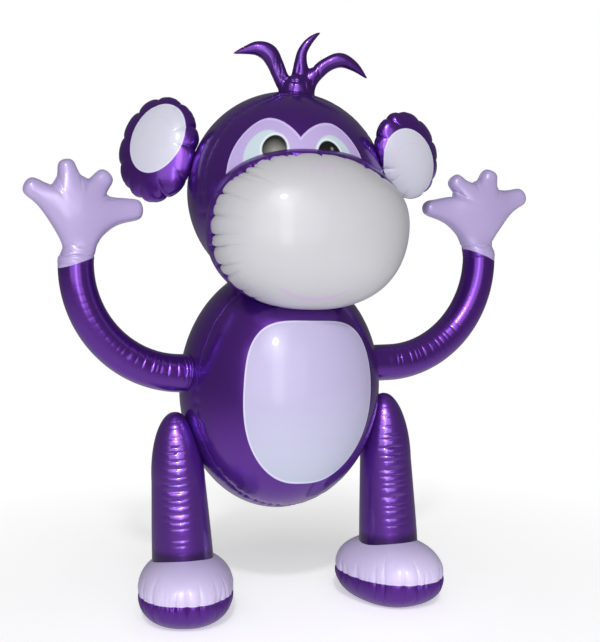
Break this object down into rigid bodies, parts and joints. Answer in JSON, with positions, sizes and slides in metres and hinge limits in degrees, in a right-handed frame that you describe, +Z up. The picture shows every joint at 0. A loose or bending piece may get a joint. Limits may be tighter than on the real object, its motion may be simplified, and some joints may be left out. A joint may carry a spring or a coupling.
{
  "type": "inflatable monkey",
  "caption": "Standing inflatable monkey of glossy film, arms raised, with a broad muzzle, round ears and padded feet.",
  "frame": {"origin": "on the floor under the middle of the figure's bounding box", "axes": "+Z up, the figure faces -Y, its own right side is at -X"},
  "size_m": [0.566, 0.2462, 0.6092],
  "materials": {
    "purple_film": "metallic gloss film",
    "lavender_film": "gloss film",
    "pale_film": "gloss film",
    "muzzle_film": "satin gloss film",
    "valve_vinyl": "clear vinyl"
  },
  "bodies": {
    "root": {"torso": "purple_film", "head": "purple_film", "muzzle": "muzzle_film", "hair_tuft": "purple_film", "right_ear": "purple_film", "right_arm": "purple_film", "right_hand": "lavender_film", "right_leg": "purple_film", "right_foot": "pale_film", "right_sole": "purple_film", "left_ear": "purple_film", "left_arm": "purple_film", "left_hand": "lavender_film", "left_leg": "purple_film", "left_foot": "pale_film", "left_sole": "purple_film", "inflation_valve": "valve_vinyl"}
  },
  "joints": []
}
